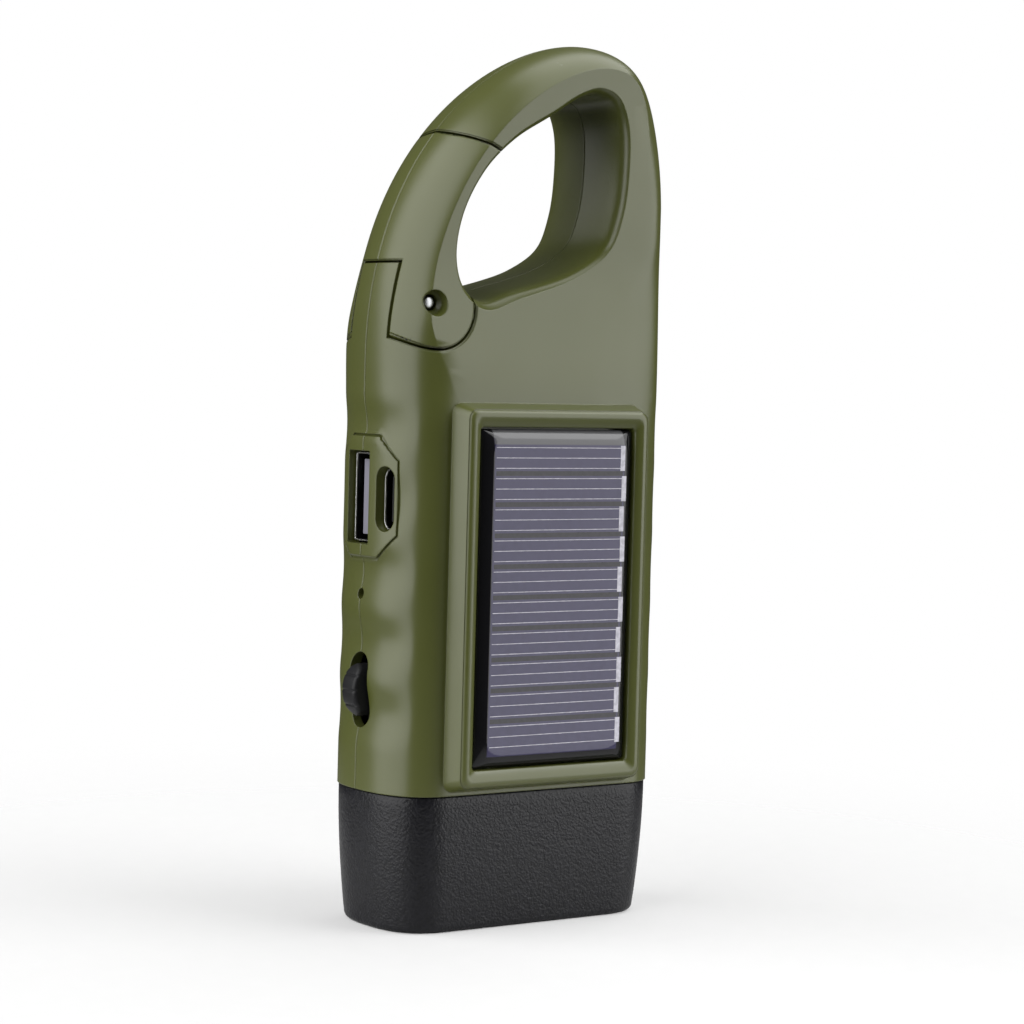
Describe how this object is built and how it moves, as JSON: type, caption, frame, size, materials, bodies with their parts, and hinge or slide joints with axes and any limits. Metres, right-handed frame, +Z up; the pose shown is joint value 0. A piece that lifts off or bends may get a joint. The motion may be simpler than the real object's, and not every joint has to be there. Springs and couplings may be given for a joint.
{
  "type": "hand crank flashlight",
  "caption": "Flat hand-held flashlight with a snap-hook handle, framed solar panel, finger grooves, charging sockets, slide switch, folding rear crank and rubber lamp bumper.",
  "frame": {"origin": "centre of the object's box, on the floor under the rubber bumper", "axes": "+Z up towards the hook, -Y towards the side with the solar panel, +Y towards the crank, -X towards the sockets and switch"},
  "size_m": [0.0504, 0.0366, 0.1323],
  "materials": {
    "green_plastic": "satin moulded olive green",
    "black_rubber": "fine leather grain",
    "black_plastic": "satin black",
    "white_plastic": "satin",
    "natural_plastic": "unpainted gear plastic",
    "clear_plastic": "clear",
    "chromed_plastic": "mirror bright",
    "steel": "plated",
    "brass": "turned",
    "copper_wire": "enamelled winding, solid block",
    "circuit_board": "glass fibre board, green",
    "solar_resin": "domed clear resin over dark cells",
    "battery_foil": "laminated foil pouch"
  },
  "bodies": {
    "flashlight": {"front_shell": "green_plastic", "rear_shell": "green_plastic", "gate_spring": "steel", "rubber_bumper": "black_rubber", "front_lens": "clear_plastic", "reflector": "chromed_plastic", "lamp_board": "circuit_board", "led_left": "clear_plastic", "led_centre": "clear_plastic", "led_right": "clear_plastic", "solar_backing": "circuit_board", "solar_panel": "solar_resin", "main_board": "circuit_board", "usb_a_shell": "steel", "usb_a_tongue": "white_plastic", "usb_c_shell": "steel", "usb_c_tongue": "black_plastic", "charge_light": "clear_plastic", "switch_body": "black_plastic", "battery": "battery_foil", "generator_case": "steel", "generator_winding": "copper_wire", "gear_plate": "natural_plastic", "intermediate_axle": "steel", "crank_bushing": "brass", "case_screw_1": "steel", "case_screw_2": "steel", "case_screw_3": "steel", "case_screw_4": "steel", "case_screw_5": "steel", "case_screw_6": "steel", "board_screw_1": "steel", "board_screw_2": "steel", "gear_plate_screw_1": "steel", "gear_plate_screw_2": "steel", "gear_plate_screw_3": "steel"},
    "gate": {"snap_gate": "green_plastic", "gate_pin": "steel"},
    "crank": {"crank_arm": "green_plastic", "crank_screw": "steel", "crank_gear": "natural_plastic", "knob_fold_pin": "steel"},
    "intermediate": {"intermediate_gear": "natural_plastic"},
    "rotor": {"generator_rotor": "steel"},
    "knob_fork": {"knob_bracket": "black_plastic", "knob_screw": "steel"},
    "knob_grip": {"crank_knob": "black_plastic"},
    "slider": {"switch_knob": "black_plastic"}
  },
  "joints": [
    {"name": "gate_hinge", "type": "hinge", "parent": "flashlight", "child": "gate", "pos_m": [-0.01818, -0.00222, 0.0923], "axis": [0, 1, 0], "range_deg": [0, 32], "stiffness_Nm_per_rad": 0.03, "springref_deg": -20.05},
    {"name": "crank_turn", "type": "hinge", "parent": "flashlight", "child": "crank", "pos_m": [0.00088, 0.01038, 0.044], "axis": [0, 1, 0], "continuous": true},
    {"name": "intermediate_turn", "type": "hinge", "parent": "flashlight", "child": "intermediate", "pos_m": [0.00871, 0.00378, 0.03043], "axis": [0, 1, 0], "continuous": true},
    {"name": "rotor_turn", "type": "hinge", "parent": "flashlight", "child": "rotor", "pos_m": [-0.00071, -0.00222, 0.03226], "axis": [0, 1, 0], "continuous": true},
    {"name": "knob_fold", "type": "hinge", "parent": "crank", "child": "knob_fork", "pos_m": [0.00088, 0.01418, 0.0805], "axis": [1, 0, 0], "range_deg": [0, 90]},
    {"name": "knob_spin", "type": "hinge", "parent": "knob_fork", "child": "knob_grip", "pos_m": [0.00088, 0.01418, 0.0683], "axis": [0, 0, 1], "continuous": true},
    {"name": "switch_slide", "type": "slide", "parent": "flashlight", "child": "slider", "axis": [0, 0, 1], "range_m": [-0.0014, 0.0014]}
  ],
  "couplings": [
    {"joint": "intermediate_turn", "follows": "crank_turn", "ratio": -5.3333},
    {"joint": "rotor_turn", "follows": "crank_turn", "ratio": 26.667}
  ]
}
